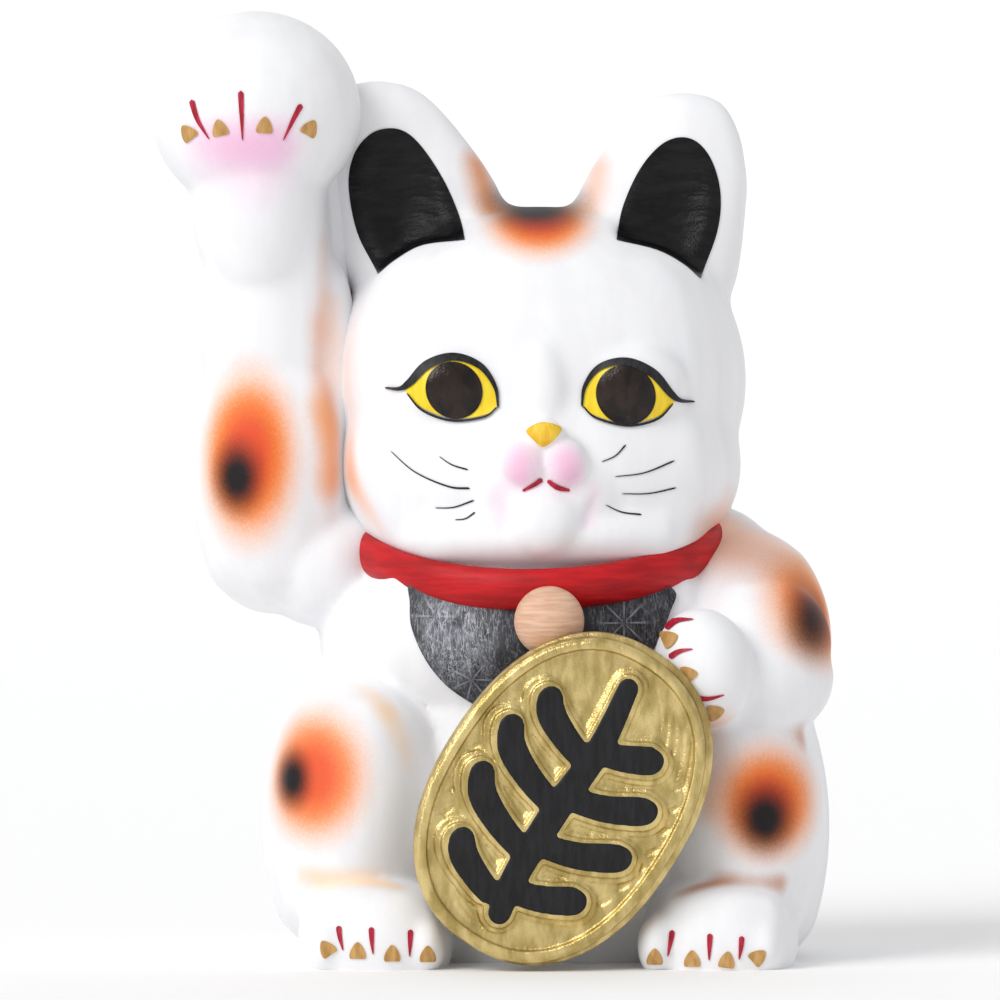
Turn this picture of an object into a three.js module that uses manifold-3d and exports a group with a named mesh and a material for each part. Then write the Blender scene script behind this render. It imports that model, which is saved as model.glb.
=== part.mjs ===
// A seated beckoning cat with its right paw raised beside its head, 210 mm tall.
// It is a hollow slip-cast earthenware coin bank: castings of the torso, head, arms, hind legs
// and tail are luted together, the collar, bell, bib and oval coin are sprigged on, the eyes,
// nose and ear linings are thick coats of enamel, and a soft stopper closes the hole in the base.
// Millimetres, +Z up. The cat faces -Y, so its raised right paw is on -X.
import * as THREE from "three";
import { mergeVertices } from "three/addons/utils/BufferGeometryUtils.js";
import Module from "manifold-3d";

const wasm = await Module();
wasm.setup();

// Driving dimensions
const wall = 5; // thickness of the cast earthenware
const gap = 0.3; // clearance between pieces that touch
const paintThickness = 0.6; // one coat of enamel
const faceHeight = 127.8; // height of the eyes above the base
const eyeSpacing = 19.6; // from the middle of the face to each eye
const stopperRadius = 13; // hole in the base
const flangeRadius = 17; // the stopper's flange
const recessRadius = 30; // shallow recess in the base, round the stopper
const recessDepth = 2.5;
const slotWidth = 36; // coin slot
const slotHeight = 5;
const coinLength = 76.2; // oval coin, along its long axis
const coinWidth = 56.2;
const coinThickness = 6;
const coinTilt = 33; // degrees, long axis leaning towards +X
const coinAt = [5, -56, 37.8]; // middle of the coin's back
const bellRadius = 7.8;

// A lump of clay: a superellipsoid. square is 2 for an egg and more for a boxier form.
// lean turns it about Y in degrees, top towards +X, and nod turns it about X, top towards +Y.
function lump(at, radii, { square = 2, lean = 0, nod = 0 } = {}) {
  return { at, radii, square, lean, nod };
}

// The signed distance of a point to a lump, near enough for blending.
function distanceTo({ at, radii, square, lean, nod }) {
  const turn = new THREE.Euler(
    THREE.MathUtils.degToRad(-nod),
    THREE.MathUtils.degToRad(lean),
    0,
  );
  const inverse = new THREE.Matrix4()
    .compose(
      new THREE.Vector3(...at),
      new THREE.Quaternion().setFromEuler(turn),
      new THREE.Vector3(...radii),
    )
    .invert();
  const least = Math.min(...radii);
  const local = new THREE.Vector3();
  return (point) => {
    local.copy(point).applyMatrix4(inverse);
    const size =
      Math.abs(local.x) ** square +
      Math.abs(local.y) ** square +
      Math.abs(local.z) ** square;
    return (size ** (1 / square) - 1) * least;
  };
}

// Lumps smoothed into each other over a width of blend.
function clay(lumps, blend) {
  const distances = lumps.map(distanceTo);
  return (point) =>
    distances
      .map((distance) => distance(point))
      .reduce((a, b) => {
        const overlap = Math.max(blend - Math.abs(a - b), 0);
        return Math.min(a, b) - (overlap * overlap) / (4 * blend);
      });
}

// Only positions, with shared vertices merged, so that the geometry is one closed surface.
function bare(geometry) {
  const stripped = geometry.clone();
  stripped.deleteAttribute("normal");
  stripped.deleteAttribute("uv");
  return mergeVertices(stripped, 1e-4);
}

// The skin of some clay: a ball of triangles whose points go straight out from a middle
// that lies inside the clay, until they leave it.
function cast(middle, lumps, blend, detail) {
  const inside = clay(lumps, blend);
  const from = new THREE.Vector3(...middle);
  const skin = bare(new THREE.IcosahedronGeometry(1, detail));
  const points = skin.attributes.position;
  const direction = new THREE.Vector3();
  const at = (distance) =>
    inside(new THREE.Vector3().copy(from).addScaledVector(direction, distance));
  for (let i = 0; i < points.count; i++) {
    direction.fromBufferAttribute(points, i).normalize();
    let far = 1;
    while (at(far) < 0) far += 1;
    let near = far - 1;
    for (let halving = 0; halving < 14; halving++) {
      const middleOfStep = (near + far) / 2;
      if (at(middleOfStep) < 0) near = middleOfStep;
      else far = middleOfStep;
    }
    direction.multiplyScalar(near).add(from);
    points.setXYZ(i, direction.x, direction.y, direction.z);
  }
  return skin;
}

// The same lumps, thinner by the wall all round, as the plaster core would be.
function core(lumps, thickness = wall) {
  return lumps.map((one) => ({
    ...one,
    radii: one.radii.map((radius) => radius - thickness),
  }));
}

function solid(geometry) {
  const closed = bare(geometry);
  return new wasm.Manifold(
    new wasm.Mesh({
      numProp: 3,
      vertProperties: closed.attributes.position.array,
      triVerts: new Uint32Array(closed.index.array),
    }),
  );
}

function geometryOf(made) {
  const { vertProperties, triVerts, numProp } = made.getMesh();
  const positions = new Float32Array((vertProperties.length / numProp) * 3);
  for (let i = 0; i < positions.length / 3; i++)
    positions.set(vertProperties.subarray(i * numProp, i * numProp + 3), i * 3);
  const geometry = new THREE.BufferGeometry();
  geometry.setAttribute("position", new THREE.BufferAttribute(positions, 3));
  geometry.setIndex(new THREE.BufferAttribute(triVerts, 1));
  return geometry;
}

// The biggest of the bodies that a cut leaves.
function largest(made) {
  return made
    .decompose()
    .reduce((best, one) => (one.volume() > best.volume() ? one : best));
}

// A skin moved out along its normals.
function grown(geometry, by) {
  const skin = bare(geometry);
  skin.computeVertexNormals();
  const points = skin.attributes.position;
  const normals = skin.attributes.normal;
  for (let i = 0; i < points.count; i++)
    points.setXYZ(
      i,
      points.getX(i) + normals.getX(i) * by,
      points.getY(i) + normals.getY(i) * by,
      points.getZ(i) + normals.getZ(i) * by,
    );
  return skin;
}

function box(low, high) {
  const size = high.map((value, axis) => value - low[axis]);
  const middle = high.map((value, axis) => (value + low[axis]) / 2);
  return solid(new THREE.BoxGeometry(...size).translate(...middle));
}

// A rod along Z, with its middle at the origin.
function rod(radius, length, segments = 32) {
  return new THREE.CylinderGeometry(radius, radius, length, segments).rotateX(
    Math.PI / 2,
  );
}

// A coat that lies on the front of a skin, inside an outline drawn in X and Z.
function coat(outline, skin, under, over) {
  const front = -90;
  const back = -2;
  const prism = new THREE.ExtrudeGeometry(outline, {
    depth: back - front,
    bevelEnabled: false,
    curveSegments: 10,
  })
    .rotateX(Math.PI / 2)
    .translate(0, back, 0);
  return solid(prism)
    .intersect(solid(grown(skin, over)))
    .subtract(solid(grown(skin, under)));
}

const materials = {
  body: new THREE.MeshStandardMaterial({ color: 0xf2f0ec, roughness: 0.6 }),
  collar: new THREE.MeshStandardMaterial({ color: 0xb8141c, roughness: 0.45 }),
  bell: new THREE.MeshStandardMaterial({ color: 0xcfa684, roughness: 0.5 }),
  bib: new THREE.MeshStandardMaterial({ color: 0x2b2d33, roughness: 0.55 }),
  coin: new THREE.MeshStandardMaterial({
    color: 0xb59a4c,
    roughness: 0.38,
    metalness: 0.7,
  }),
  black: new THREE.MeshStandardMaterial({ color: 0x121214, roughness: 0.3 }),
  iris: new THREE.MeshStandardMaterial({ color: 0xf0cf1e, roughness: 0.35 }),
  pupil: new THREE.MeshStandardMaterial({ color: 0x1c1210, roughness: 0.2 }),
  nose: new THREE.MeshStandardMaterial({ color: 0xeeb81c, roughness: 0.4 }),
  stopper: new THREE.MeshStandardMaterial({ color: 0x2a2a2a, roughness: 0.7 }),
};

const figure = new THREE.Group();
function piece(name, made, material) {
  const mesh = new THREE.Mesh(
    made.isBufferGeometry ? made : geometryOf(made),
    materials[material],
  );
  mesh.name = name;
  figure.add(mesh);
}

// Skull and jaw, with the mound of the muzzle, puffs, nose, chin and the swell of each eye.
const headLumps = [
  lump([0, 0, 128], [45, 40, 37.5], { square: 2.5 }),
  lump([0, -6, 110.5], [44.6, 37.5, 25], { square: 2.8 }),
];
const faceLumps = [
  ...headLumps,
  lump([-eyeSpacing, -31, faceHeight], [13, 9.5, 11]),
  lump([eyeSpacing, -31, faceHeight], [13, 9.5, 11]),
  lump([0, -37, 107], [17, 8, 14]),
  lump([0, -41, 123], [5, 4.5, 11]),
  lump([-4.6, -43.2, 112], [5.6, 4.6, 5.6]),
  lump([4.6, -43.2, 112], [5.6, 4.6, 5.6]),
  lump([0, -41, 99], [9, 5, 6.5]),
];
const headMiddle = [0, -2, 122];
const headSkin = cast(headMiddle, faceLumps, 6, 9);

// Ears: flat leaves with rounded edges that stand on the skull, hollowed in front.
// Drawn for the left ear, from the root by the crown, over the tip and down the outer side.
function earOutline() {
  return new THREE.Shape()
    .moveTo(9, 140)
    .quadraticCurveTo(9, 166, 15, 174)
    .quadraticCurveTo(22, 186, 31, 187.2)
    .quadraticCurveTo(41, 187, 41.3, 172)
    .lineTo(41, 140);
}
function liningOutline(inset) {
  const keep = 1 - inset / 8; // the outline shrinks towards its middle
  const at = (x, z) => [30 + (x - 30) * keep, 167 + (z - 167) * keep];
  return new THREE.Shape()
    .moveTo(...at(32.5, 183.5))
    .quadraticCurveTo(...at(39, 179), ...at(41, 169))
    .quadraticCurveTo(...at(40.6, 160), ...at(36.5, 151))
    .quadraticCurveTo(...at(27, 158), ...at(17, 159))
    .quadraticCurveTo(...at(20, 173), ...at(32.5, 183.5));
}
const earEdge = 4.5; // rounding of the edge, all round the outline
const earBack = 10.5;
const earThickness = 17;
const liningFloor = -2.5; // y of the bottom of the hollow
const earTwist = 8; // degrees, outer edge turned back
const pawLift = 3.6; // the right ear is pushed up by the raised paw

// Stands a left ear's shape in its place, or mirrors it for the right.
function placeEar(geometry, side) {
  geometry.rotateX(Math.PI / 2).translate(0, earBack, 0);
  geometry.translate(-27, 0, 0).rotateZ(THREE.MathUtils.degToRad(earTwist));
  geometry.translate(27, 0, 0);
  if (side > 0) return solid(geometry);
  return solid(geometry).mirror([1, 0, 0]).translate([0, 0, pawLift]);
}
function ear(side, by = 0) {
  const fin = new THREE.ExtrudeGeometry(earOutline(), {
    depth: earThickness - 2 * earEdge,
    bevelThickness: earEdge + by,
    bevelSize: earEdge + by,
    bevelSegments: 2,
    curveSegments: 4,
  }).translate(0, 0, earEdge);
  const hollow = new THREE.ExtrudeGeometry(liningOutline(by), {
    depth: 30,
    bevelEnabled: false,
    curveSegments: 6,
  }).translate(0, 0, earBack - liningFloor + by);
  return placeEar(fin, side).subtract(placeEar(hollow, side));
}
const head = solid(headSkin).add(ear(1)).add(ear(-1));

// Belly and shoulders, with the boss that backs the coin.
const torsoLumps = [
  lump([1.5, 4, 32], [51, 46, 50], { square: 2.6 }),
  lump([0, -2, 74], [44, 42, 26], { square: 2.8 }),
];
const boss = lump([coinAt[0], -41, 37], [24, 15.6, 33], { square: 2.6, lean: coinTilt });
const torsoMiddle = [0, 0, 45];
const torsoSkin = cast(torsoMiddle, [...torsoLumps, boss], 5, 7);
const aboveBase = box([-120, -120, 0], [120, 120, 260]);

// Neck hole: the torso and the head share one hollow.
const neckRadius = 24;
const neck = solid(rod(neckRadius, 40)).translate([0, 0, 86]);
const torsoFloor = wall + 1;
const torsoHollow = solid(
  cast(torsoMiddle, core(torsoLumps), 5, 5),
).intersect(box([-120, -120, torsoFloor], [120, 120, 260]));
const stopperAt = [0, 6];
const stopperHole = solid(rod(stopperRadius + gap, 3 * wall)).translate([
  ...stopperAt,
  wall,
]);
const footRecess = solid(rod(recessRadius, 2 * recessDepth, 40)).translate([...stopperAt, 0]);
const slotAt = 72; // height of the coin slot in the back
const coinSlot = box(
  [-slotWidth / 2, 15, slotAt - slotHeight / 2],
  [slotWidth / 2, 90, slotAt + slotHeight / 2],
);
const headKeepOut = solid(grown(headSkin, gap));
const torso = solid(torsoSkin)
  .intersect(aboveBase)
  .subtract(headKeepOut)
  .subtract(torsoHollow)
  .subtract(neck)
  .subtract(stopperHole)
  .subtract(footRecess)
  .subtract(coinSlot);

const headHollow = solid(cast(headMiddle, core(headLumps), 5, 3));
piece("head_shell", head.subtract(headHollow).subtract(neck), "body");

// Raised right arm: elbow, wrist and the root that is luted to the shoulder, then the paw.
const armLumps = [
  lump([-59.5, -6, 107], [18, 19, 31], { square: 2.5 }),
  lump([-60, -6, 148], [15.5, 15, 44], { square: 2.8 }),
  lump([-48, -4, 88], [16, 18, 15]),
];
const pawLump = lump([-63, -12, 187.5], [23.3, 21.5, 22.5]);
const armMiddle = [-62, -6, 130];
const armSkin = cast(armMiddle, armLumps, 6, 5);
const pawSkin = cast(pawLump.at, [pawLump], 1, 5);
const headGrown = headKeepOut.add(ear(-1, gap));
const torsoGrown = solid(grown(torsoSkin, gap));
const arm = solid(armSkin)
  .add(solid(pawSkin))
  .subtract(headGrown)
  .subtract(torsoGrown);
const armHollow = solid(
  cast(armMiddle, core([armLumps[0], armLumps[1]]), 6, 3),
).add(solid(cast(pawLump.at, core([pawLump]), 1, 2)));
const armRootHole = solid(rod(6, 24, 16).rotateY(Math.PI / 2)).translate([
  -50, -4, 84,
]);
piece("raised_arm", arm.subtract(armHollow).subtract(armRootHole), "body");

// Collar: a flattened ring round the neck, lower at the throat.
const collarHeight = 8.4;
const collarTilt = 10; // degrees, lower at the throat
const collarSection = [];
const collarSides = 8;
for (let step = 0; step < collarSides; step++) {
  const turn = (step / collarSides) * 2 * Math.PI;
  collarSection.push(
    new THREE.Vector2(41.6 + 3 * Math.cos(turn), (collarHeight / 2) * Math.sin(turn)),
  );
}
collarSection.push(collarSection[0].clone());
const collarRing = new THREE.LatheGeometry(collarSection, 40)
  .rotateX(Math.PI / 2)
  .scale(1, 1.05, 1)
  .rotateX(THREE.MathUtils.degToRad(collarTilt))
  .translate(0.4, -3, 92.5);
const collarGrown = solid(grown(collarRing, gap));
const collar = solid(collarRing)
  .subtract(headKeepOut)
  .subtract(torsoGrown)
  .subtract(solid(grown(armSkin, gap)));
piece("collar_band", collar, "collar");

// Lowered left arm: shoulder, forearm and the paw that steadies the coin.
const loweredLumps = [
  lump([42.5, -7, 70], [22.5, 28, 26], { square: 2.2 }),
  lump([48, -33, 62], [17, 17, 13.5]),
];
const loweredPaw = lump([36, -47, 66], [11, 11.5, 13.3], { lean: -12 });
const loweredSkin = cast([46, -20, 64], loweredLumps, 6, 5);
const loweredPawSkin = cast(loweredPaw.at, [loweredPaw], 1, 4);
const lowered = solid(loweredSkin)
  .add(solid(loweredPawSkin))
  .subtract(headKeepOut)
  .subtract(collarGrown)
  .subtract(torsoGrown);

// Hind legs: a haunch against each side of the belly, and a foot in front of it.
const bodyShift = 1.8; // the body's middle stands a little to +X of the face's
function haunch(side) {
  const upper = lump([side * 42 + bodyShift, -12, 33], [20.5, 38, 34], {
    square: 2.4,
    lean: -side * 4,
  });
  return cast(upper.at, [upper], 1, 5);
}
function foot(side) {
  const sole = lump([side * 38 + bodyShift, -40, 6], [17, 18.5, 12.5], { square: 2.6 });
  return cast(sole.at, [sole], 1, 4);
}
const armsGrown = solid(grown(loweredSkin, gap))
  .add(solid(grown(loweredPawSkin, gap)))
  .add(solid(grown(armSkin, gap)));

// Oval coin: a plate with a raised rim, held upright in front of the belly.
function upright(geometry) {
  return geometry
    .rotateX(Math.PI / 2)
    .rotateY(THREE.MathUtils.degToRad(coinTilt))
    .translate(...coinAt);
}
const coinSquareness = 2.3; // a little fuller than an ellipse, which has 2
function oval(width, length, corners) {
  const round = (value) => Math.sign(value) * Math.abs(value) ** (2 / coinSquareness);
  const points = [];
  for (let i = 0; i < corners; i++) {
    const turn = (i / corners) * 2 * Math.PI;
    const x = (width / 2) * round(Math.cos(turn));
    points.push(new THREE.Vector2(x, (length / 2) * round(Math.sin(turn))));
  }
  return new THREE.Shape(points);
}
const rimWidth = 2.4;
const rimHeight = 1;
const coinBevel = 1.2;
function plate(width, length, depth, bevel, from, corners) {
  const outline = oval(width - 2 * bevel, length - 2 * bevel, corners);
  return new THREE.ExtrudeGeometry(outline, {
    depth: depth - 2 * bevel,
    bevelThickness: bevel,
    bevelSize: bevel,
    bevelSegments: 2,
  }).translate(0, 0, from + bevel);
}
const coinBlank = solid(upright(plate(coinWidth, coinLength, coinThickness, coinBevel, 0, 40)));
const coinFace = solid(
  upright(
    plate(
      coinWidth - 2 * rimWidth,
      coinLength - 2 * rimWidth,
      4,
      0.6,
      coinThickness - rimHeight,
      36,
    ),
  ),
);
const coinGrown = solid(
  upright(
    plate(
      coinWidth + 2 * gap,
      coinLength + 2 * gap,
      coinThickness + 2 * gap,
      coinBevel,
      -gap,
      32,
    ),
  ),
);
piece("torso_shell", torso.subtract(coinGrown), "body");
for (const [name, side] of [
  ["right", -1],
  ["left", 1],
]) {
  const thigh = solid(haunch(side)).intersect(aboveBase);
  piece(
    `haunch_${name}`,
    thigh.subtract(torsoGrown).subtract(armsGrown).subtract(coinGrown),
    "body",
  );
  piece(
    `foot_${name}`,
    solid(foot(side))
      .intersect(aboveBase)
      .subtract(torsoGrown)
      .subtract(solid(grown(haunch(side), gap)))
      .subtract(coinGrown),
    "body",
  );
}
piece("lowered_arm", lowered.subtract(coinGrown), "body");
piece("coin_plate", coinBlank.subtract(coinFace), "coin");

// Raised sprig on the coin: a stem with pairs of leaves.
const reliefHeight = 1.5;
const leafPairs = [-24, -11.5, 1, 13.5]; // places of the leaf pairs along the stem
const leafTurn = 56; // degrees from the stem
function leaf(length, width) {
  return new THREE.Shape()
    .moveTo(0, 0)
    .bezierCurveTo(width, length * 0.15, width * 0.9, length * 0.75, 0, length)
    .bezierCurveTo(-width * 0.9, length * 0.75, -width, length * 0.15, 0, 0);
}
function relief(outline, turn, x, y) {
  const made = new THREE.ExtrudeGeometry(outline, {
    depth: reliefHeight,
    bevelEnabled: false,
    curveSegments: 7,
  });
  made.rotateZ(THREE.MathUtils.degToRad(turn));
  return made.translate(x, y, coinThickness - rimHeight + gap);
}
const stem = relief(leaf(56, 4), 0, 0, -33);
const sprigParts = [stem, relief(leaf(15, 5.6), 0, 0, 17.5)];
for (const at of leafPairs) {
  const length = 24.5 - 0.01 * (at + 6) ** 2;
  for (const side of [-1, 1])
    sprigParts.push(relief(leaf(length, 5.6), -side * leafTurn, 0, at));
}
const sprig = sprigParts
  .map((one) => solid(upright(one)))
  .reduce((all, one) => all.add(one));
piece("coin_sprig", sprig, "black");

// Tail, curled against the back.
const tailLumps = [
  lump([-8, 50, 10], [11, 10, 9]),
  lump([6, 52, 16], [11, 9, 9]),
  lump([18, 49, 24], [9, 8.5, 9]),
];
const tail = solid(cast([6, 50, 16], tailLumps, 6, 3))
  .intersect(aboveBase)
  .subtract(torsoGrown);
piece("tail", tail, "body");

// Bell: a plain ball that hangs at the throat, over the collar and behind the coin's top.
const bellAt = [1.9, -51, 77];
const bell = solid(new THREE.SphereGeometry(bellRadius, 18, 10))
  .translate(bellAt)
  .subtract(collarGrown)
  .subtract(torsoGrown)
  .subtract(coinGrown);
piece("bell", bell, "bell");

// Bib: a rounded apron under the collar.
const bibOutline = new THREE.Shape()
  .moveTo(-31, 86)
  .lineTo(-31, 76)
  .bezierCurveTo(-31, 62, -14, 53, 0, 53)
  .bezierCurveTo(14, 53, 31, 62, 31, 76)
  .lineTo(31, 86);
const bibThickness = 1.1;
const bellGrown = solid(new THREE.SphereGeometry(bellRadius + gap, 20, 12)).translate(bellAt);
const bib = coat(bibOutline, torsoSkin, gap, gap + bibThickness)
  .subtract(collarGrown)
  .subtract(bellGrown)
  .subtract(coinGrown)
  .subtract(armsGrown)
  .subtract(headKeepOut);
piece("bib", largest(bib), "bib");

// Eyes: a yellow almond with a dark pupil on it, both thick coats of enamel.
const coatOver = gap + paintThickness;
for (const [name, side] of [
  ["right", -1],
  ["left", 1],
]) {
  const almond = new THREE.Shape()
    .moveTo(side * 9.2, 124.5)
    .bezierCurveTo(side * 11, 132, side * 15, 134.6, side * 19.6, 134.6)
    .bezierCurveTo(side * 24, 134.6, side * 27.5, 131, side * 29.1, 126.4)
    .bezierCurveTo(side * 26, 122, side * 23, 120, side * 18.8, 120)
    .bezierCurveTo(side * 14.5, 120, side * 11, 122, side * 9.2, 124.5);
  const round = new THREE.Shape().absarc(side * 18.8, 126.8, 6.3, 0, 2 * Math.PI);
  piece(`eye_${name}`, coat(almond, headSkin, gap, coatOver), "iris");
  piece(
    `pupil_${name}`,
    coat(round, headSkin, coatOver + gap, 2 * coatOver),
    "pupil",
  );
}

// Nose: a rounded triangle, a drop of enamel on the tip of the muzzle.
const noseOutline = new THREE.Shape()
  .moveTo(-3.8, 118.6)
  .quadraticCurveTo(0, 121, 3.8, 118.6)
  .quadraticCurveTo(3, 115.6, 0, 114.4)
  .quadraticCurveTo(-3, 115.6, -3.8, 118.6);
piece("nose", coat(noseOutline, headSkin, gap, gap + 1.2), "nose");

// Ear linings: glossy black enamel in the hollow of each ear.
for (const [name, side] of [
  ["right", -1],
  ["left", 1],
]) {
  const lining = new THREE.ExtrudeGeometry(liningOutline(gap), {
    depth: 1.2,
    bevelEnabled: false,
    curveSegments: 6,
  }).translate(0, 0, earBack - liningFloor + gap);
  const inHollow = placeEar(lining, side).subtract(headKeepOut);
  piece(`ear_lining_${name}`, inHollow.subtract(solid(grown(pawSkin, gap))), "black");
}

// Stopper: a soft plug with a flange, pushed up into the base.
const stopperFloor = 0.8; // the flange stands this far clear of the table
const stopper = new THREE.LatheGeometry(
  [
    [0, 0],
    [flangeRadius, 0],
    [flangeRadius, 1.4],
    [stopperRadius - 0.6, 1.4],
    [stopperRadius, 4.4],
    [stopperRadius - 1, 8],
    [0, 8],
  ].map(([radius, height]) => new THREE.Vector2(radius, height)),
  36,
)
  .rotateX(Math.PI / 2)
  .translate(...stopperAt, stopperFloor);
piece("base_stopper", stopper, "stopper");

// The origin is on the table, under the middle of the whole figure.
const bounds = new THREE.Box3().setFromObject(figure);
const middle = bounds.getCenter(new THREE.Vector3());
figure.position.set(-middle.x, -middle.y, 0);

export default figure;
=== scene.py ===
import math

import bpy
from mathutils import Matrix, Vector


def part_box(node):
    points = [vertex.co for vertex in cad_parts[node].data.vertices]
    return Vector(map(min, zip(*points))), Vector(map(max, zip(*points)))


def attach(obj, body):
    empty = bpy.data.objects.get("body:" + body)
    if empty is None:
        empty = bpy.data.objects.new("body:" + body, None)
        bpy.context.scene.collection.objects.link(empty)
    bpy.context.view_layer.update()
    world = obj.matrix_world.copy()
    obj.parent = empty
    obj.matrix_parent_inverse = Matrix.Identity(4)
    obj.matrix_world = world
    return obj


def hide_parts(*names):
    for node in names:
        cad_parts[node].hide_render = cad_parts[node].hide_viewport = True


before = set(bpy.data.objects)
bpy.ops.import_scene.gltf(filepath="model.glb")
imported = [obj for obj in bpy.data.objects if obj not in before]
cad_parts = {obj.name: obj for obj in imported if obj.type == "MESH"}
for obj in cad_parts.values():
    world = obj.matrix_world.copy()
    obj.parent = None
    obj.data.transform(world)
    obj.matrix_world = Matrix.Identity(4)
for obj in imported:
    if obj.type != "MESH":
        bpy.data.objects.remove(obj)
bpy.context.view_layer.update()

# Clay skin of the body.
# The torso, arms, hind legs and tail are slip castings, luted together while the clay is soft
# and sponged, so the whole body has one skin with soft folds where the castings meet.
MM = 0.001
head_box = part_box("head_shell")
coin_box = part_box("coin_plate")
coin_back = 56  # from the plane of the ears forward to the coin's back, in mm
ground = Vector(
    ((head_box[0].x + head_box[1].x) / 2, coin_box[1].y + coin_back * MM, 0)
)


def at(x, y, z):
    """A place in mm: across from the face's middle line, back from the ears, up from the table."""
    return ground + Vector((x, y, z)) * MM


def pick(piece):
    """Makes a piece the only one selected, and the active one."""
    bpy.ops.object.select_all(action="DESELECT")
    piece.select_set(True)
    bpy.context.view_layer.objects.active = piece


def worked(piece, kind, **settings):
    """Adds a modifier to a piece and applies it."""
    pick(piece)
    step = piece.modifiers.new(kind, kind)
    for key, value in settings.items():
        setattr(step, key, value)
    bpy.ops.object.modifier_apply(modifier=step.name)
    return piece


def placed(piece):
    """Puts a piece's place, turn and size into its mesh."""
    pick(piece)
    bpy.ops.object.transform_apply(location=True, rotation=True, scale=True)
    return piece


def twin(piece, name):
    """A copy with its own mesh."""
    copy = piece.copy()
    copy.data = piece.data.copy()
    copy.name = name
    bpy.context.scene.collection.objects.link(copy)
    return copy


def cut(piece, tool, keep_tool=False, operation="DIFFERENCE"):
    """Cuts a tool out of a piece, or joins it on, or keeps what they share."""
    worked(piece, "BOOLEAN", operation=operation, object=tool, solver="MANIFOLD")
    if not keep_tool:
        bpy.data.objects.remove(tool)
    return piece


def lump(centre, radii, more=0, boxy=0.0, lean=0.0, nod=0.0):
    """A ball of clay pressed to an egg, thicker by more. lean tips its top right, nod back."""
    bpy.ops.mesh.primitive_uv_sphere_add(segments=64, ring_count=32, radius=1)
    ball = bpy.context.object
    if boxy:
        worked(ball, "CAST", cast_type="CUBOID", factor=boxy)
    ball.scale = Vector([r + more for r in radii]) * MM
    ball.rotation_euler = (math.radians(-nod), math.radians(lean), 0)
    ball.location = at(*centre)
    return placed(ball)


def joined(name, pieces):
    """Pieces made one object, without changing their meshes."""
    bpy.ops.object.select_all(action="DESELECT")
    for one in pieces:
        one.select_set(True)
    bpy.context.view_layer.objects.active = pieces[0]
    if len(pieces) > 1:
        bpy.ops.object.join()
    whole = bpy.context.object
    whole.name = name
    return whole


def fused(name, pieces, grain):
    """Pieces fused into one solid. grain is in mm."""
    return worked(joined(name, pieces), "REMESH", mode="VOXEL", voxel_size=grain * MM)


def pressed(name, pieces, grain, sponging):
    """Lumps pressed into one body of clay and sponged smooth."""
    return worked(fused(name, pieces, grain), "SMOOTH", factor=0.5, iterations=sponging)


def block(low, high):
    """A plain block between two corners in mm, used as a cutting tool."""
    bpy.ops.mesh.primitive_cube_add(size=1)
    tool = bpy.context.object
    size = Vector(high) - Vector(low)
    tool.scale = size * MM
    tool.location = at(*((Vector(high) + Vector(low)) / 2))
    return placed(tool)


def below(level):
    """Everything under a level in mm, as a cutting tool."""
    return block((-120, -120, -60), (120, 120, level))


coin_lean = 33  # degrees, long axis towards the left paw
body_side = 1.8  # the haunches stand this much to the cat's left of its face, in mm


def torso_lumps(more=0):
    return [
        lump((1.5, 4, 32), (51, 46, 50), more, boxy=0.18),
        lump((0, -2, 74), (44, 42, 26), more, boxy=0.23),
        lump((-35, -2, 71), (14, 26, 18), more),
        lump((37, -4, 84), (17, 20, 16.5), more),
    ]


def haunch_lump(side, more=0):
    radii = {-1: (21.6, 38, 34), 1: (20.5, 38, 37)}[side]
    return lump((side * 42 + body_side, -12, 33), radii, more, boxy=0.13, lean=-side * 4)


def foot_lump(side, more=0):
    return lump((side * 38 + body_side, -40, 5.5), (17.2, 18.5, 14.5), more, boxy=0.22)


sides = {-1: "right", 1: "left"}  # the cat's right is on the viewer's left
toe_places = {-1: (-47, -40.2, -32.6, -25), 1: (25.5, 33.6, 42, 49.5)}


def toe_lumps(side):
    return [lump((x, -51, 5.2), (4.3, 7.2, 7)) for x in toe_places[side]]


def lowered_arm_lumps(more=0):
    return [
        lump((42.5, -7, 70), (22.5, 28, 26), more, boxy=0.07),
        lump((48, -27, 63), (17, 19, 14.5), more),
        lump((47, -24, 70), (17.6, 19, 16), more),
        lump((36, -47, 66), (11, 11.5, 13.3), more, lean=-12),
    ]


def raised_arm_lumps(more=0):
    return [
        lump((-59.5, -6, 107), (18, 19, 31), more, boxy=0.15),
        lump((-61, -6, 148), (15, 15, 44), more, boxy=0.23),
        lump((-48, -4, 88), (16, 18, 15), more),
        lump((-46.5, -5, 122), (7, 9, 34), more),
        lump((-47, 4, 158), (6, 8, 36), more),
        lump((-62.4, -10.5, 168), (15.2, 17.5, 24), more),
        lump((-63, -11, 187.7), (23.4, 20.4, 22.6), more),
        *[
            lump((x, y, 190), (6.4, 7.5, 9), more, nod=-12)
            for x, y in ((-75, -19), (-66, -23), (-57, -23), (-49, -18))
        ],
    ]


clay = pressed(
    "clay",
    torso_lumps()
    + [lump((5, -41, 37), (24, 15, 33), boxy=0.18, lean=coin_lean)]
    + [haunch_lump(side) for side in sides]
    + [foot_lump(side) for side in sides]
    + [toe for side in sides for toe in toe_lumps(side)]
    + lowered_arm_lumps()
    + raised_arm_lumps(),
    grain=0.9,
    sponging=20,
)
cut(clay, below(0))


def parted(name, lumps):
    """Parts a casting off the clay along its luting seam, which follows the given lumps."""
    seam = fused("seam", lumps, 1.5)
    casting = cut(twin(clay, name), seam, keep_tool=True, operation="INTERSECT")
    cut(clay, seam)
    return casting


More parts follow.
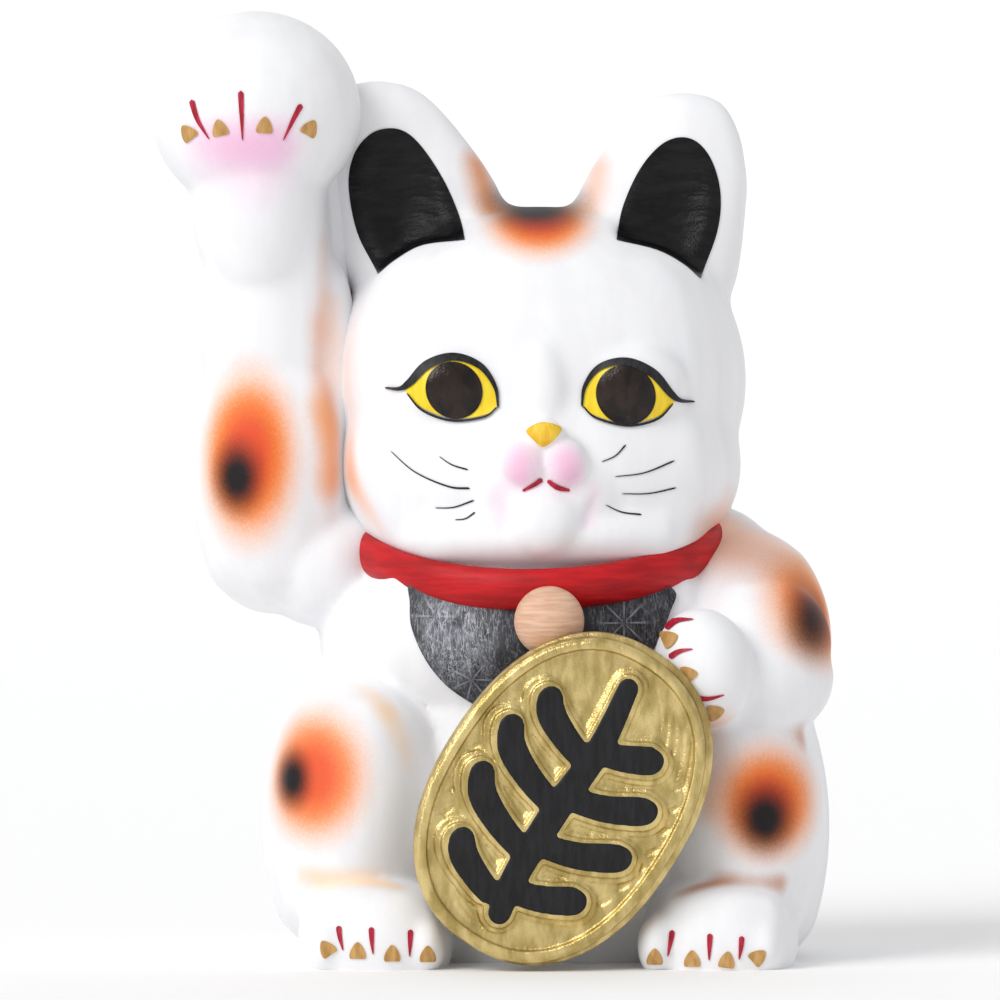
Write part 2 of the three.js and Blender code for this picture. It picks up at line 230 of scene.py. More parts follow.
raised_arm = parted("cast_raised_arm", raised_arm_lumps(2))
lowered_arm = parted("cast_lowered_arm", lowered_arm_lumps(2))
feet = {
    side: parted(f"cast_foot_{name}", [foot_lump(side, 1.5)] + toe_lumps(side))
    for side, name in sides.items()
}
haunches = {
    side: parted(f"cast_haunch_{name}", [haunch_lump(side, 1.5)])
    for side, name in sides.items()
}

# Paint of the clay.
# A matt white ground brushed over the fired clay, then soft spots and shaded folds blown on
# with an airbrush: yellow-orange first, red over it, and a black heart last.


def node(tree, kind, inputs=None, **settings):
    """Adds a shader node. inputs are values, or sockets to link."""
    made = tree.nodes.new("ShaderNode" + kind)
    for key, value in settings.items():
        setattr(made, key, value)
    for key, value in (inputs or {}).items():
        if isinstance(value, bpy.types.NodeSocket):
            tree.links.new(value, made.inputs[key])
        else:
            made.inputs[key].default_value = value
    return made


def node_group(name, inputs, outputs):
    """An empty node group with named sockets, its input node and its output node."""
    tree = bpy.data.node_groups.new(name, "ShaderNodeTree")
    kinds = {"v": "NodeSocketVector", "f": "NodeSocketFloat", "c": "NodeSocketColor"}
    for way, sockets in (("INPUT", inputs), ("OUTPUT", outputs)):
        for label, kind in sockets.items():
            tree.interface.new_socket(label, in_out=way, socket_type=kinds[kind])
    start = tree.nodes.new("NodeGroupInput")
    end = tree.nodes.new("NodeGroupOutput")
    return tree, start.outputs, end.inputs


def mixed(tree, share, below, above):
    mix = node(tree, "Mix", {0: share, 6: below, 7: above}, data_type="RGBA")
    return mix.outputs[2]


def times(tree, one, other):
    return node(tree, "Math", {0: one, 1: other}, operation="MULTIPLY").outputs[0]


def smoothed(tree, value, low, high):
    """0 at low and 1 at high, with soft ends."""
    ramp = node(
        tree,
        "MapRange",
        {0: value, 1: low, 2: high, 3: 0.0, 4: 1.0},
        interpolation_type="SMOOTHSTEP",
    )
    return ramp.outputs[0]


def distance_in(tree, place, centre, radii):
    offset = node(tree, "VectorMath", {0: place, 1: centre}, operation="SUBTRACT")
    shape = node(tree, "VectorMath", {0: offset.outputs[0], 1: radii}, operation="DIVIDE")
    return node(tree, "VectorMath", {0: shape.outputs[0]}, operation="LENGTH").outputs[1]


def speckled(tree, place, value, size, strength):
    """Breaks a soft edge into the fine drops of an airbrush."""
    drops = node(tree, "TexNoise", {"Vector": place, "Scale": 1 / size, "Detail": 3.0})
    shift = node(
        tree, "Math", {0: drops.outputs[0], 1: strength, 2: -strength / 2},
        operation="MULTIPLY_ADD",
    )
    return node(tree, "Math", {0: value, 1: shift.outputs[0]}).outputs[0]


orange = (0.93, 0.32, 0.06, 1)
red_orange = (0.74, 0.075, 0.02, 1)
soot = (0.006, 0.003, 0.004, 1)

spot_group, given, result = node_group(
    "airbrushed_spot",
    {"Colour": "c", "Place": "v", "Centre": "v", "Radii": "v", "Heart": "v",
     "Heart radii": "v", "Strength": "f"},
    {"Colour": "c"},
)
far = distance_in(spot_group, given["Place"], given["Centre"], given["Radii"])
far = speckled(spot_group, given["Place"], far, 0.0006, 0.16)
halo = smoothed(spot_group, far, 1.15, 0.45)
share = times(spot_group, halo, given["Strength"])
warm = mixed(spot_group, share, given["Colour"], orange)
inner = smoothed(spot_group, far, 0.84, 0.2)
share = times(spot_group, inner, given["Strength"])
hot = mixed(spot_group, share, warm, red_orange)
near = distance_in(spot_group, given["Place"], given["Heart"], given["Heart radii"])
near = speckled(spot_group, given["Place"], near, 0.0005, 0.2)
heart = smoothed(spot_group, near, 1.4, 0.3)
spot_group.links.new(mixed(spot_group, heart, hot, soot), result["Colour"])

shade_group, given, result = node_group(
    "airbrushed_shade",
    {"Colour": "c", "Place": "v", "Start": "v", "End": "v", "Width": "f",
     "Tint": "c", "Strength": "f"},
    {"Colour": "c"},
)
along = node(shade_group, "VectorMath", {0: given["End"], 1: given["Start"]},
             operation="SUBTRACT").outputs[0]
reach = node(shade_group, "VectorMath", {0: given["Place"], 1: given["Start"]},
             operation="SUBTRACT").outputs[0]
over = node(shade_group, "VectorMath", {0: reach, 1: along}, operation="DOT_PRODUCT")
length = node(shade_group, "VectorMath", {0: along, 1: along}, operation="DOT_PRODUCT")
length = node(shade_group, "Math", {0: length.outputs[1], 1: 1e-9}, operation="ADD")
share = node(shade_group, "Math", {0: over.outputs[1], 1: length.outputs[0]},
             operation="DIVIDE", use_clamp=True)
foot_of = node(shade_group, "VectorMath", {0: along, 3: share.outputs[0]},
               operation="SCALE")
off = node(shade_group, "VectorMath", {0: reach, 1: foot_of.outputs[0]},
           operation="DISTANCE")
wide = node(shade_group, "Math", {0: off.outputs[1], 1: given["Width"]},
            operation="DIVIDE")
edge = speckled(shade_group, given["Place"], wide.outputs[0], 0.0006, 0.2)
soft = smoothed(shade_group, edge, 1.0, 0.0)
share = times(shade_group, soft, given["Strength"])
shade_group.links.new(
    mixed(shade_group, share, given["Colour"], given["Tint"]),
    result["Colour"],
)

# Faint strokes and pits left by a brush, which every paint but the bell's has.
brush_group, given, result = node_group(
    "brush_marks",
    {"Place": "v", "Size": "f", "Depth": "f", "Stretch": "v"},
    {"Height": "f", "Tone": "f"},
)
scale = node(brush_group, "Math", {0: 1.0, 1: given["Size"]}, operation="DIVIDE").outputs[0]
streaks = node(brush_group, "Mapping", {"Vector": given["Place"], "Scale": given["Stretch"]})
strokes = node(brush_group, "TexNoise",
               {"Vector": streaks.outputs[0], "Scale": scale, "Detail": 4.0})
fine = node(brush_group, "TexNoise",
            {"Vector": given["Place"], "Scale": 2600.0, "Detail": 2.0})
both = node(brush_group, "Math", {0: fine.outputs[0], 1: 0.25, 2: strokes.outputs[0]},
            operation="MULTIPLY_ADD")
brush_group.links.new(times(brush_group, both.outputs[0], given["Depth"]), result["Height"])
brush_group.links.new(smoothed(brush_group, strokes.outputs[0], 0.3, 0.7), result["Tone"])


def paint(name, roughness, metallic=0.0, coat=0.0, specular=0.3):
    """A new material: its node tree, its shader and the place on the object."""
    material = bpy.data.materials.new(name)
    material.use_nodes = True
    tree = material.node_tree
    shader = tree.nodes["Principled BSDF"]
    shader.inputs["Roughness"].default_value = roughness
    shader.inputs["Metallic"].default_value = metallic
    shader.inputs["Coat Weight"].default_value = coat
    shader.inputs["Specular IOR Level"].default_value = specular
    place = node(tree, "TexCoord").outputs["Object"]
    return material, tree, shader, place


def brushed(tree, shader, place, size, depth, stretch=(1, 1, 0.22)):
    """Gives a paint the relief of its brush marks, drawn out along an axis. Returns their tone."""
    marks = node(
        tree, "Group",
        {"Place": place, "Size": size * MM, "Depth": depth * MM, "Stretch": stretch},
        node_tree=brush_group,
    )
    bump = node(tree, "Bump", {"Height": marks.outputs["Height"], "Distance": 1.0})
    tree.links.new(bump.outputs[0], shader.inputs["Normal"])
    return marks.outputs["Tone"]


def brush_painted(name, dark, light, size, depth, stretch=(1, 1, 0.22), **finish):
    """A paint that runs from a dark to a light tone with its brush marks."""
    material, tree, shader, place = paint(name, **finish)
    tone = brushed(tree, shader, place, size, depth, stretch)
    tree.links.new(mixed(tree, tone, dark, light), shader.inputs["Base Color"])
    return material


clay_paint, clay_tree, clay_shader, clay_place = paint("painted_clay", roughness=0.58)
tone = brushed(clay_tree, clay_shader, clay_place, size=7, depth=0.14)
clay_colour = mixed(clay_tree, tone, (0.83, 0.83, 0.85, 1), (0.88, 0.88, 0.895, 1))


def airbrushed(group, values):
    """Adds an airbrushed mark over the colour that the clay has so far."""
    global clay_colour
    given = {"Colour": clay_colour, "Place": clay_place, **values}
    clay_colour = node(clay_tree, "Group", given, node_tree=group).outputs["Colour"]


def airbrush_spot(centre, radii, heart, heart_radii, strength=1.0):
    airbrushed(
        spot_group,
        {"Centre": at(*centre), "Radii": Vector(radii) * MM, "Heart": at(*heart),
         "Heart radii": Vector(heart_radii) * MM, "Strength": strength},
    )


def airbrush_shade(start, end, width, tint, strength):
    airbrushed(
        shade_group,
        {"Start": at(*start), "End": at(*end), "Width": width * MM, "Tint": tint,
         "Strength": strength},
    )


# Raised right arm.
# One casting with its paw, luted to the shoulder and to the side of the head. A tall spot is
# blown on the outside, and the pad of the paw is pink.
shade_orange = (0.86, 0.34, 0.12, 1)
pad_pink = (0.88, 0.4, 0.66, 1)


def shown(piece, material, slot, *nodes, body="figure"):
    """Paints a finished piece and says which body it rides on and what it stands for."""
    piece.data.materials.clear()
    piece.data.materials.append(material)
    pick(piece)
    bpy.ops.object.shade_smooth_by_angle(angle=math.radians(50))
    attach(piece, body)
    if nodes:
        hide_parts(*nodes)


airbrush_spot((-64.7, -24, 112), (13, 16, 22.5), (-67.3, -25, 107), (6, 9, 8.5))
airbrush_shade((-76, -33, 180), (-58, -33, 180), 10, pad_pink, 0.8)
airbrush_shade((-72, -30, 176), (-62, -30, 176), 14, pad_pink, 0.35)
for start, end, strength in (
    ((-45, -14, 158), (-47, -18, 140), 0.3),
    ((-46, -18, 140), (-47, -20, 122), 0.5),
    ((-47, -20, 122), (-45, -22, 106), 0.7),
    ((-45, -22, 106), (-40, -28, 92), 0.6),
):
    airbrush_shade(start, end, 7, shade_orange, strength)
shown(raised_arm, clay_paint, "bisque", "raised_arm")

# Lowered left arm.
# One casting of shoulder, forearm and paw, luted to the torso so that the paw rests on the
# edge of the coin. The elbow has a spot, and the shoulder is shaded down from the collar.
# The folds and the shoulder are airbrushed orange. This brown is that orange drawn darker on the
# cat's left, the side turned from the light, so it is painted shade.
painted_shade_brown = (0.56, 0.2, 0.07, 1)
airbrush_spot((57.5, -24, 76), (14, 24, 15.5), (59, -28, 74.6), (6.4, 18, 9.4))
airbrush_shade((40, -18, 94), (54, -16, 86), 14, shade_orange, 0.6)
# Painted shade: the shoulder and the fold under the forearm take the brown meant for the side
# turned from the light.
airbrush_shade((39, -28, 92), (54, -22, 84), 12, painted_shade_brown, 0.6)
airbrush_shade((38, -41, 49.8), (57, -36, 50), 5, painted_shade_brown, 0.65)
shown(lowered_arm, clay_paint, "bisque", "lowered_arm")

# Haunches and feet.
# Two castings a side, luted to the torso and to each other. Each haunch has a spot, and the
# folds above the feet and along the belly are shaded.
# The same orange drawn lighter and yellower on the cat's right, where the light falls, so it is
# painted light.
painted_light_yellow = (0.93, 0.56, 0.24, 1)
airbrush_spot((-49.5, -42, 42), (13.8, 30, 17), (-54.2, -38, 41), (4.4, 14, 6.8), 0.92)
airbrush_spot((49.6, -42, 36.4), (13.6, 30, 14.6), (49.2, -46, 32.8), (6.8, 16, 8))
# Painted light and painted shade over the orange folds: yellow above the right foot and along the
# right belly fold, where the light falls, and brown above the left foot.
airbrush_shade((-53, -44, 19.4), (-32, -50, 19), 4.5, painted_light_yellow, 0.55)
airbrush_shade((29, -52, 18.6), (52, -44, 18.4), 4, painted_shade_brown, 0.8)
airbrush_shade((-42.6, -34, 67.5), (-33, -42, 57), 5, painted_light_yellow, 0.5)
airbrush_shade((-33, -42, 57), (-27, -46, 45.5), 5, painted_light_yellow, 0.5)
airbrush_shade((37, -50, 54), (35, -52, 36), 8, shade_orange, 0.6)
airbrush_shade((35, -52, 36), (21, -54, 14), 7, shade_orange, 0.45)
for side, name in sides.items():
    shown(haunches[side], clay_paint, "bisque", f"haunch_{name}")
    shown(feet[side], clay_paint, "bisque", f"foot_{name}")

# Torso.
# A hollow casting with walls 5 mm thick, open at the base for the stopper. The coin slot is
# cut through the back while the clay is soft. A large spot is blown on the back.
torso = clay
torso.name = "cast_torso"
wall = 5
base_thick = 6
hollow = fused("hollow", torso_lumps(-wall), 2)
cut(hollow, below(base_thick))
cut(torso, hollow)
slot_low, slot_high = (-18, 15, 69.5), (18, 90, 74.5)
cut(torso, block(slot_low, slot_high))


def plug(radius, depth, centre):
    """A round block of clay, used as a cutting tool."""
    bpy.ops.mesh.primitive_cylinder_add(
        vertices=96, radius=radius * MM, depth=depth * MM, location=at(*centre)
    )
    return placed(bpy.context.object)


stopper_back = 6  # from the plane of the ears to the middle of the stopper
recess_radius, recess_height = 30, 2.5
hole_radius = 13.3
cut(torso, plug(recess_radius, 2 * recess_height, (0, stopper_back, 0)))
cut(torso, plug(hole_radius, 4 * base_thick, (0, stopper_back, 0)))
airbrush_spot((-22, 46, 50), (17, 16, 20), (-24, 46, 46), (7, 9, 8))
airbrush_spot((26, 44, 70), (13, 14, 15), (27, 46, 68), (5, 9, 6))
shown(torso, clay_paint, "bisque", "torso_shell")

# Tail.
# A short casting curled against the back and luted on, with a dark tip.
tail = pressed(
    "cast_tail",
    [
        lump((x, y, z), (wide, 8.6, wide))
        for x, y, z, wide in (
            (-12, 47, 8, 9.6), (-6, 49, 9.2, 10), (0, 50.4, 11, 10), (6, 51, 13.6, 9.8),
            (11.6, 50.6, 17, 9.4), (16, 49.6, 21.4, 8.8), (18.6, 48.4, 26.4, 7.8),
        )
    ],
    grain=0.8,
    sponging=20,
)
cut(tail, below(0))
airbrush_spot((19, 53, 27), (13, 12, 12), (20, 55, 30), (9, 9, 7))
shown(tail, clay_paint, "bisque", "tail")

# Head.
# A hollow casting with its ears. The muzzle, nose ridge, chin and the swell of the eyes stand
# out softly, and each ear is scooped out in front.


def ear_lump(side, lift, spread):
    """Pulls an ear up out of a slab, section by section. Its tip spreads outwards."""
    plain = (  # height, inner edge, outer edge, thickness
        (140, 7, 45, 24),
        (156, 4.2, 47, 22),
        (167, 4.6, 48.6, 19.5),
        (177, 10.4, 48.4, 16),
        (186, 16.8, 45.6, 13),
        (193, 23.8, 40.6, 8.5),
    )
    spread_from, spread_over = 160, 33
    sections = []
    for height, inner, outer, thick in plain:
        out = spread * max(0, height - spread_from) / spread_over
        sections.append((height, inner + out, outer + out, thick))
    bpy.ops.mesh.primitive_plane_add(size=1)
    ear = bpy.context.object
    height, inner, outer, thick = sections[0]
    ear.scale = ((outer - inner) * MM, thick * MM, 1)
    ear.location = at((inner + outer) / 2, 2, height)
    placed(ear)
    bpy.ops.object.mode_set(mode="EDIT")
    bpy.ops.mesh.select_all(action="SELECT")
    for before, after in zip(sections, sections[1:]):
        shift = ((after[1] + after[2]) - (before[1] + before[2])) / 2
        rise = after[0] - before[0]
        bpy.ops.mesh.extrude_region_move(
            TRANSFORM_OT_translate={"value": (shift * MM, 0, rise * MM)}
        )
        wider = (after[2] - after[1]) / (before[2] - before[1])
        bpy.ops.transform.resize(
            value=(wider, after[3] / before[3], 1),
            center_override=at((after[1] + after[2]) / 2, 2, after[0]),
        )
    bpy.ops.object.mode_set(mode="OBJECT")
    worked(ear, "SUBSURF", levels=4, render_levels=4)
    if side < 0:
        ear.scale.x = -1
        ear.location = (2 * ground.x, 0, lift * MM)
        placed(ear)
    pick(ear)
    bpy.ops.object.mode_set(mode="EDIT")
    bpy.ops.mesh.select_all(action="SELECT")
    bpy.ops.mesh.normals_make_consistent(inside=False)
    bpy.ops.object.mode_set(mode="OBJECT")
    return ear


def flowing(points, steps=8):
    """A smooth line from the second of some points to the last but one."""
    line = []
    for a, b, c, d in zip(points, points[1:], points[2:], points[3:]):
        a, b, c, d = Vector(a), Vector(b), Vector(c), Vector(d)
        for step in range(steps):
            t = step / steps
            bend = (2 * a - 5 * b + 4 * c - d) * t * t + (3 * b - a - 3 * c + d) * t**3
            line.append(b + (c - a) * t / 2 + bend / 2)
    return line


def through(points, steps=8):
    """A smooth line from the first point to the last."""
    start = 2 * Vector(points[0]) - Vector(points[1])
    end = 2 * Vector(points[-1]) - Vector(points[-2])
    return flowing([start, *points, end], steps) + [Vector(points[-1])]


def prism(outlines, front, back):
    """Outlines drawn in mm across and up, pushed back from one depth to another."""
    mesh = bpy.data.meshes.new("prism")
    points, faces = [], []
    for outline in outlines:
        faces.append(range(len(points), len(points) + len(outline)))
        points += [at(x, front, z) for x, z in outline]
    mesh.from_pydata(points, [], [tuple(face) for face in faces])
    tool = bpy.data.objects.new("prism", mesh)
    bpy.context.scene.collection.objects.link(tool)
    pick(tool)
    bpy.ops.object.mode_set(mode="EDIT")
    bpy.ops.mesh.select_all(action="SELECT")
    bpy.ops.mesh.extrude_region_move(
        TRANSFORM_OT_translate={"value": (0, (back - front) * MM, 0)}
    )
    bpy.ops.mesh.select_all(action="SELECT")
    bpy.ops.mesh.normals_make_consistent(inside=False)
    bpy.ops.object.mode_set(mode="OBJECT")
    return tool


lining_edges = {
    -1: ((16.6, 159.7), (17.9, 164.8), (20.9, 171.8), (25.2, 178.7), (29.2, 182.9),
         (33.2, 184.1), (37.6, 182.8), (41.2, 178.4), (42.5, 171.4), (40.6, 161), (36, 152)),
    1: ((17, 159.7), (18.6, 167), (22.3, 175), (27, 180.4), (31.6, 182.1), (35.6, 180.6),
        (38.7, 176), (40.3, 169), (39.5, 161), (35.8, 151)),
}


def lining_outline(side):
    """Round at the top and at both sides, with sharp corners at the ends of the lower edge."""
    leaf = through(lining_edges[side], 6)
    inner, outer = lining_edges[side][0], lining_edges[side][-1]
    lower = through((outer, (32, outer[1] + 3.3), (26, outer[1] + 6.5), inner), 6)
    return [(side * point.x, point.y) for point in leaf[:-1] + lower[:-1]]


def skull_lumps(more=0):
    return [
        lump((0, 0, 128), (46.2, 40, 38.7), more, boxy=0.14),
        lump((0, -6, 109.5), (45, 38, 27.5), more, boxy=0.22),
    ]


ears = {-1: (2.6, 4.4), 1: (0, 0)}  # the raised paw pushes the right ear up and out
muzzle_x = 0.9  # the head is turned a very little to its left
skull = pressed(
    "cast_head",
    skull_lumps() + [ear_lump(side, *shift) for side, shift in ears.items()],
    grain=1.3,
    sponging=16,
)
for side in ears:
    scoop = lump((side * 31, -25, 171), (18.5, 21.5, 28))
    cut(scoop, prism([lining_outline(side)], -70, 10), operation="INTERSECT")
    cut(skull, scoop)
head = pressed(
    "cast_head",
    [
        skull,
        *[lump((side * 19.2, -31.5, 127.2), (13.5, 9.5, 11)) for side in sides],
        lump((muzzle_x, -35.5, 105), (19, 11, 13.5)),
        lump((muzzle_x / 2, -35.5, 125), (7, 7, 14), nod=-4),
        lump((muzzle_x, -16, 95), (37, 30, 11), boxy=0.15),
        lump((muzzle_x, -42.6, 98.4), (8.4, 7, 8.4)),
    ],
    grain=0.8,
    sponging=14,
)
for side in sides:  # the folds that run down from the corners of the mouth
    fold_at = (muzzle_x + side * 10.6, -47.6, 100.6)
    cut(head, lump(fold_at, (2, 4.4, 7), lean=side * 22))
head = pressed(
    "cast_head",
    [
        head,
        *[lump((muzzle_x + side * 4.3, -44, 110.9), (5.3, 5.4, 5.8)) for side in sides],
        lump((muzzle_x, -45, 117.4), (4.4, 4, 3.4)),
    ],
    grain=0.68,
    sponging=13,
)
for casting in (torso, raised_arm, lowered_arm):
    cut(casting, head, keep_tool=True)
# Orange is airbrushed up the inner foot of each ear. On the cat's right ear, whose inner side
# turns from the light, it is drawn browner and stronger: painted shade over the orange.
airbrush_shade((-13.4, -2, 176), (-10.6, -5, 165), 6.5, (0.72, 0.26, 0.08, 1), 0.85)
airbrush_shade((12.4, -2, 175), (10.6, -5, 165), 6, shade_orange, 0.5)
airbrush_spot((0, -14, 162), (13.4, 24, 10.8), (-0.7, -8, 167), (11.4, 24, 6.4))
muzzle_pink = (0.87, 0.45, 0.64, 1)
for x in (-4.4, 5.8):
    airbrush_shade((x, -50, 111.5), (x * 1.1, -49, 108.5), 7.5, muzzle_pink, 0.85)
    airbrush_shade((x * 2.1, -45, 105), (x * 1.9, -44, 98), 3.6, muzzle_pink, 0.25)
# Painted shade: a darker pink drawn down the cleft between the two puffs, over their pink.
airbrush_shade((0.7, -50, 113), (0.9, -50, 108.6), 2.4, (0.55, 0.16, 0.34, 1), 0.55)
airbrush_shade((-46, -14, 145), (-47, -18, 118), 6, shade_orange, 0.4)
airbrush_shade((-47, -18, 118), (-38, -30, 94), 6, shade_orange, 0.5)
cut(head, fused("head_hollow", skull_lumps(-wall), 2))
neck_hole = plug(24, 44, (0, 0, 84))
cut(head, neck_hole, keep_tool=True)
cut(torso, neck_hole)
shown(head, clay_paint, "bisque", "head_shell")
clay_tree.links.new(clay_colour, clay_shader.inputs["Base Color"])


# Ear linings.
# Gloss black enamel in the hollow of each ear. Like all the enamel it is laid on by hand and
# stands a little proud, with the outline of the brush, pushed on to the clay from the front.


def painted(name, outlines, clay_piece, thickness, front, back):
    """A coat of paint, inside the given outlines, on the front of a piece of clay."""
    mark = prism(outlines, front, back)
    mark.name = name
    over = twin(clay_piece, "over")
    worked(over, "DISPLACE", strength=thickness * MM, mid_level=0)
    cut(mark, over, operation="INTERSECT")
    cut(mark, clay_piece, keep_tool=True)
    return mark


black_gloss = brush_painted(
    "black_gloss", (0.0025, 0.0025, 0.003, 1), (0.009, 0.009, 0.01, 1),
    size=1.8, depth=0.5, stretch=(0.3, 0.3, 1), roughness=0.3, specular=0.2,
)
for side, name in sides.items():
    outline = lining_outline(side)
    lining = painted(f"lining_{name}", [outline], head, 0.25, -60, 3)
    if side == -1:
        cut(lining, raised_arm, keep_tool=True)
    shown(lining, black_gloss, "black_enamel", f"ear_lining_{name}")

# Eyes.
# A yellow almond, a glossy brown-black pupil, a thick upper lid line drawn out to a lash, and
# a hair line under the eye.
yellow = brush_painted(
    "eye_yellow", (0.88, 0.6, 0.02, 1), (0.95, 0.75, 0.04, 1),
    size=1.5, depth=0.08, roughness=0.35,
)
pupil_paint = brush_painted(
    "pupil_gloss", (0.004, 0.002, 0.002, 1), (0.024, 0.012, 0.008, 1),
    size=2.4, depth=0.25, stretch=(1, 1, 0.5), roughness=0.2, specular=0.32,
)
line_black = brush_painted(
    "line_black", (0.006, 0.006, 0.007, 1), (0.02, 0.02, 0.024, 1),
    size=0.8, depth=0.05, roughness=0.45,
)


def rounded(points, steps=8):
    """A smooth closed outline through a few points."""
    return flowing([points[-1], *points, points[0], points[1]], steps)


def stroke(points, steps=10):
    """The outline of a brush stroke: each point is across, up and how wide the stroke is."""
    line = through(points, steps)
    run = [0]
    for before, after in zip(line, line[1:]):
        run.append(run[-1] + (after - before).xy.length)
    left, right = [], []
    for i, point in enumerate(line):
        ahead = (line[min(i + 1, len(line) - 1)] - line[max(i - 1, 0)]).xy
        across = Vector((-ahead.y, ahead.x)).normalized()
        half = point.z / 2
        to_end = min(run[i], run[-1] - run[i]) / half
        if to_end < 1:  # a round end
            half *= max(math.sqrt(1 - (1 - to_end) ** 2), 0.1)
        left.append(point.xy + across * half)
        right.append(point.xy - across * half)
    return left + right[::-1]


eye_depths = (-60, -20)  # from front to back, in mm
pupil_radius = {-1: 6.3, 1: 6.6}
eye_drop = {-1: -0.9, 1: -0.7}  # at the inner corner
outer_lift = {-1: 0.07, 1: -0.06}  # the left eye slopes down outwards, so it sits lower


def facing(side, *points):
    """Points drawn for either eye, put on one side of the face with any widths kept."""
    return [
        (side * x, z + eye_drop[side] + outer_lift[side] * (x - 9.4), *width)
        for x, z, *width in points
    ]


for side, name in sides.items():
    almond = rounded(
        facing(
            side, (9.3, 124.3), (10.4, 129), (13.8, 132.4), (19, 133.6), (24.2, 131.6),
            (28, 127.8), (29.6, 126), (26.4, 122.8), (19.4, 120.8), (12.4, 122),
        ),
        5,
    )
    eye = painted(f"painted_eye_{name}", [almond], head, 0.22, *eye_depths)
    shown(eye, yellow, "yellow_enamel", f"eye_{name}")
    ring = [
        (18.9 + pupil_radius[side] * math.cos(i * math.pi / 24),
         127 + pupil_radius[side] * math.sin(i * math.pi / 24))
        for i in range(48)
    ]
    pupil = painted(f"painted_pupil_{name}", [facing(side, *ring)], head, 0.42, *eye_depths)
    shown(pupil, pupil_paint, "pupil_enamel", f"pupil_{name}")
    upper = stroke(
        facing(
            side, (9.2, 123.8, 0.4), (9.9, 128.4, 0.9), (13.2, 132.8, 1.4), (19, 134.4, 1.7),
            (24.8, 132.2, 2), (28.8, 127.9, 1.6), (31, 126.4, 0.9), (34.3, 126.2, 0.3),
        )
    )
    lower = stroke(
        facing(side, (9.4, 124, 0.3), (12.4, 121.6, 0.45), (19.4, 120.3, 0.55), (25.8, 122, 0.5),
               (29.4, 125.6, 0.3))
    )
    lid = painted(f"upper_lid_{name}", [upper], head, 0.55, *eye_depths)
    shown(lid, line_black, "black_enamel")
    lid = painted(f"lower_lid_{name}", [lower], head, 0.5, *eye_depths)
    shown(lid, line_black, "black_enamel")

# Nose, mouth and whiskers.
# A drop of yellow-orange enamel on the nose, two short crimson strokes that meet at the mouth,
# and black whiskers drawn with a fine brush.
nose_paint = brush_painted(
    "nose_yellow", (0.78, 0.42, 0.02, 1), (0.88, 0.6, 0.06, 1),
    size=1.2, depth=0.12, roughness=0.4,
)
muzzle_depths = (-70, -30)
nose_outline = rounded(
    [(-3.1, 118), (-1, 119.6), (1.2, 120), (3.6, 119.4), (4.8, 118.3), (3, 116),
     (0.6, 114.5), (-1.4, 116)], 5,
)
nose = painted("painted_nose", [nose_outline], head, 0.3, *muzzle_depths)
shown(nose, nose_paint, "nose_enamel", "nose")
crimson = brush_painted(
    "crimson", (0.3, 0.004, 0.016, 1), (0.5, 0.02, 0.06, 1),
    size=0.8, depth=0.1, roughness=0.45,
)
mouth = painted(
    "mouth_strokes",
    [stroke([(0.5, 107.4, 1.1), (-1.2, 106.2, 0.9), (-3.9, 104.8, 0.5)]),
     stroke([(1.6, 107.1, 0.9), (3.8, 105.6, 1.1), (6.6, 104.9, 0.6)])],
    head, 0.3, *muzzle_depths,
)
shown(mouth, crimson, "red_enamel")
whisker_lines = (
    ((-33, 113.3), (-27.5, 108.7), (-20.2, 105.6), (-15.4, 105.2)),
    ((-22.2, 112.2), (-19.4, 110.4), (-15.8, 109.3)),
    ((-23.1, 100.8), (-19, 101), (-14.5, 102.6)),
    ((-18.7, 98.3), (-16.4, 98.6), (-14.3, 100)),
    ((13.6, 111.1), (16.6, 112.4), (18.9, 114.8)),
    ((16.5, 107.8), (23, 108.6), (29.7, 111.2)),
    ((18, 104), (24, 104), (30.1, 105.2)),
    ((14.5, 101.6), (18, 100), (22.4, 99.4)),
)
whiskers = painted(
    "whiskers",
    [stroke([(x, z, 0.18 + 0.1 * i) for i, (x, z) in enumerate(line)])
     for line in whisker_lines],
    head, 0.2, -70, -15,
)
shown(whiskers, line_black, "black_enamel")

# Claws.
# Each toe has an ochre claw, and a crimson stroke marks the fold between two toes.


def drop(centre, length, width, lean):
    """A claw: a drop with its point up and a flat foot, leaning by degrees to the right."""
    turn = math.radians(lean)
    outline = []
    for i in range(24):
        angle = i / 24 * 2 * math.pi
        u = width / 2 * math.sin(angle) * (1 - 0.4 * math.cos(angle))
        v = max(length / 2 * math.cos(angle), -0.3 * length)
        outline.append(
            Vector(centre)
            + Vector((u * math.cos(turn) + v * math.sin(turn),
                      v * math.cos(turn) - u * math.sin(turn)))
        )
    return outline


claw_paint = brush_painted(
    "claw_ochre", (0.42, 0.22, 0.06, 1), (0.6, 0.36, 0.13, 1),
    size=1.2, depth=0.1, roughness=0.42,
)
claw_length, claw_width = 4.6, 3.4
fold_widths = (1.3, 1, 0.25)


def draw_claws(name, casting, front, back, claws, folds):
    """claws are places with a lean in degrees, and folds are strokes from thick to thin."""
    claw_shapes = [drop(place_of, claw_length, claw_width, lean) for place_of, lean in claws]
    claw = painted(f"claws_{name}", claw_shapes, casting, 0.3, front, back)
    shown(claw, claw_paint, "gold_paint")
    fold_shapes = [
        stroke([(x, z, width) for (x, z), width in zip(line, fold_widths)])
        for line in folds
    ]
    fold = painted(f"toe_strokes_{name}", fold_shapes, casting, 0.25, front, back)
    shown(fold, crimson, "red_enamel")


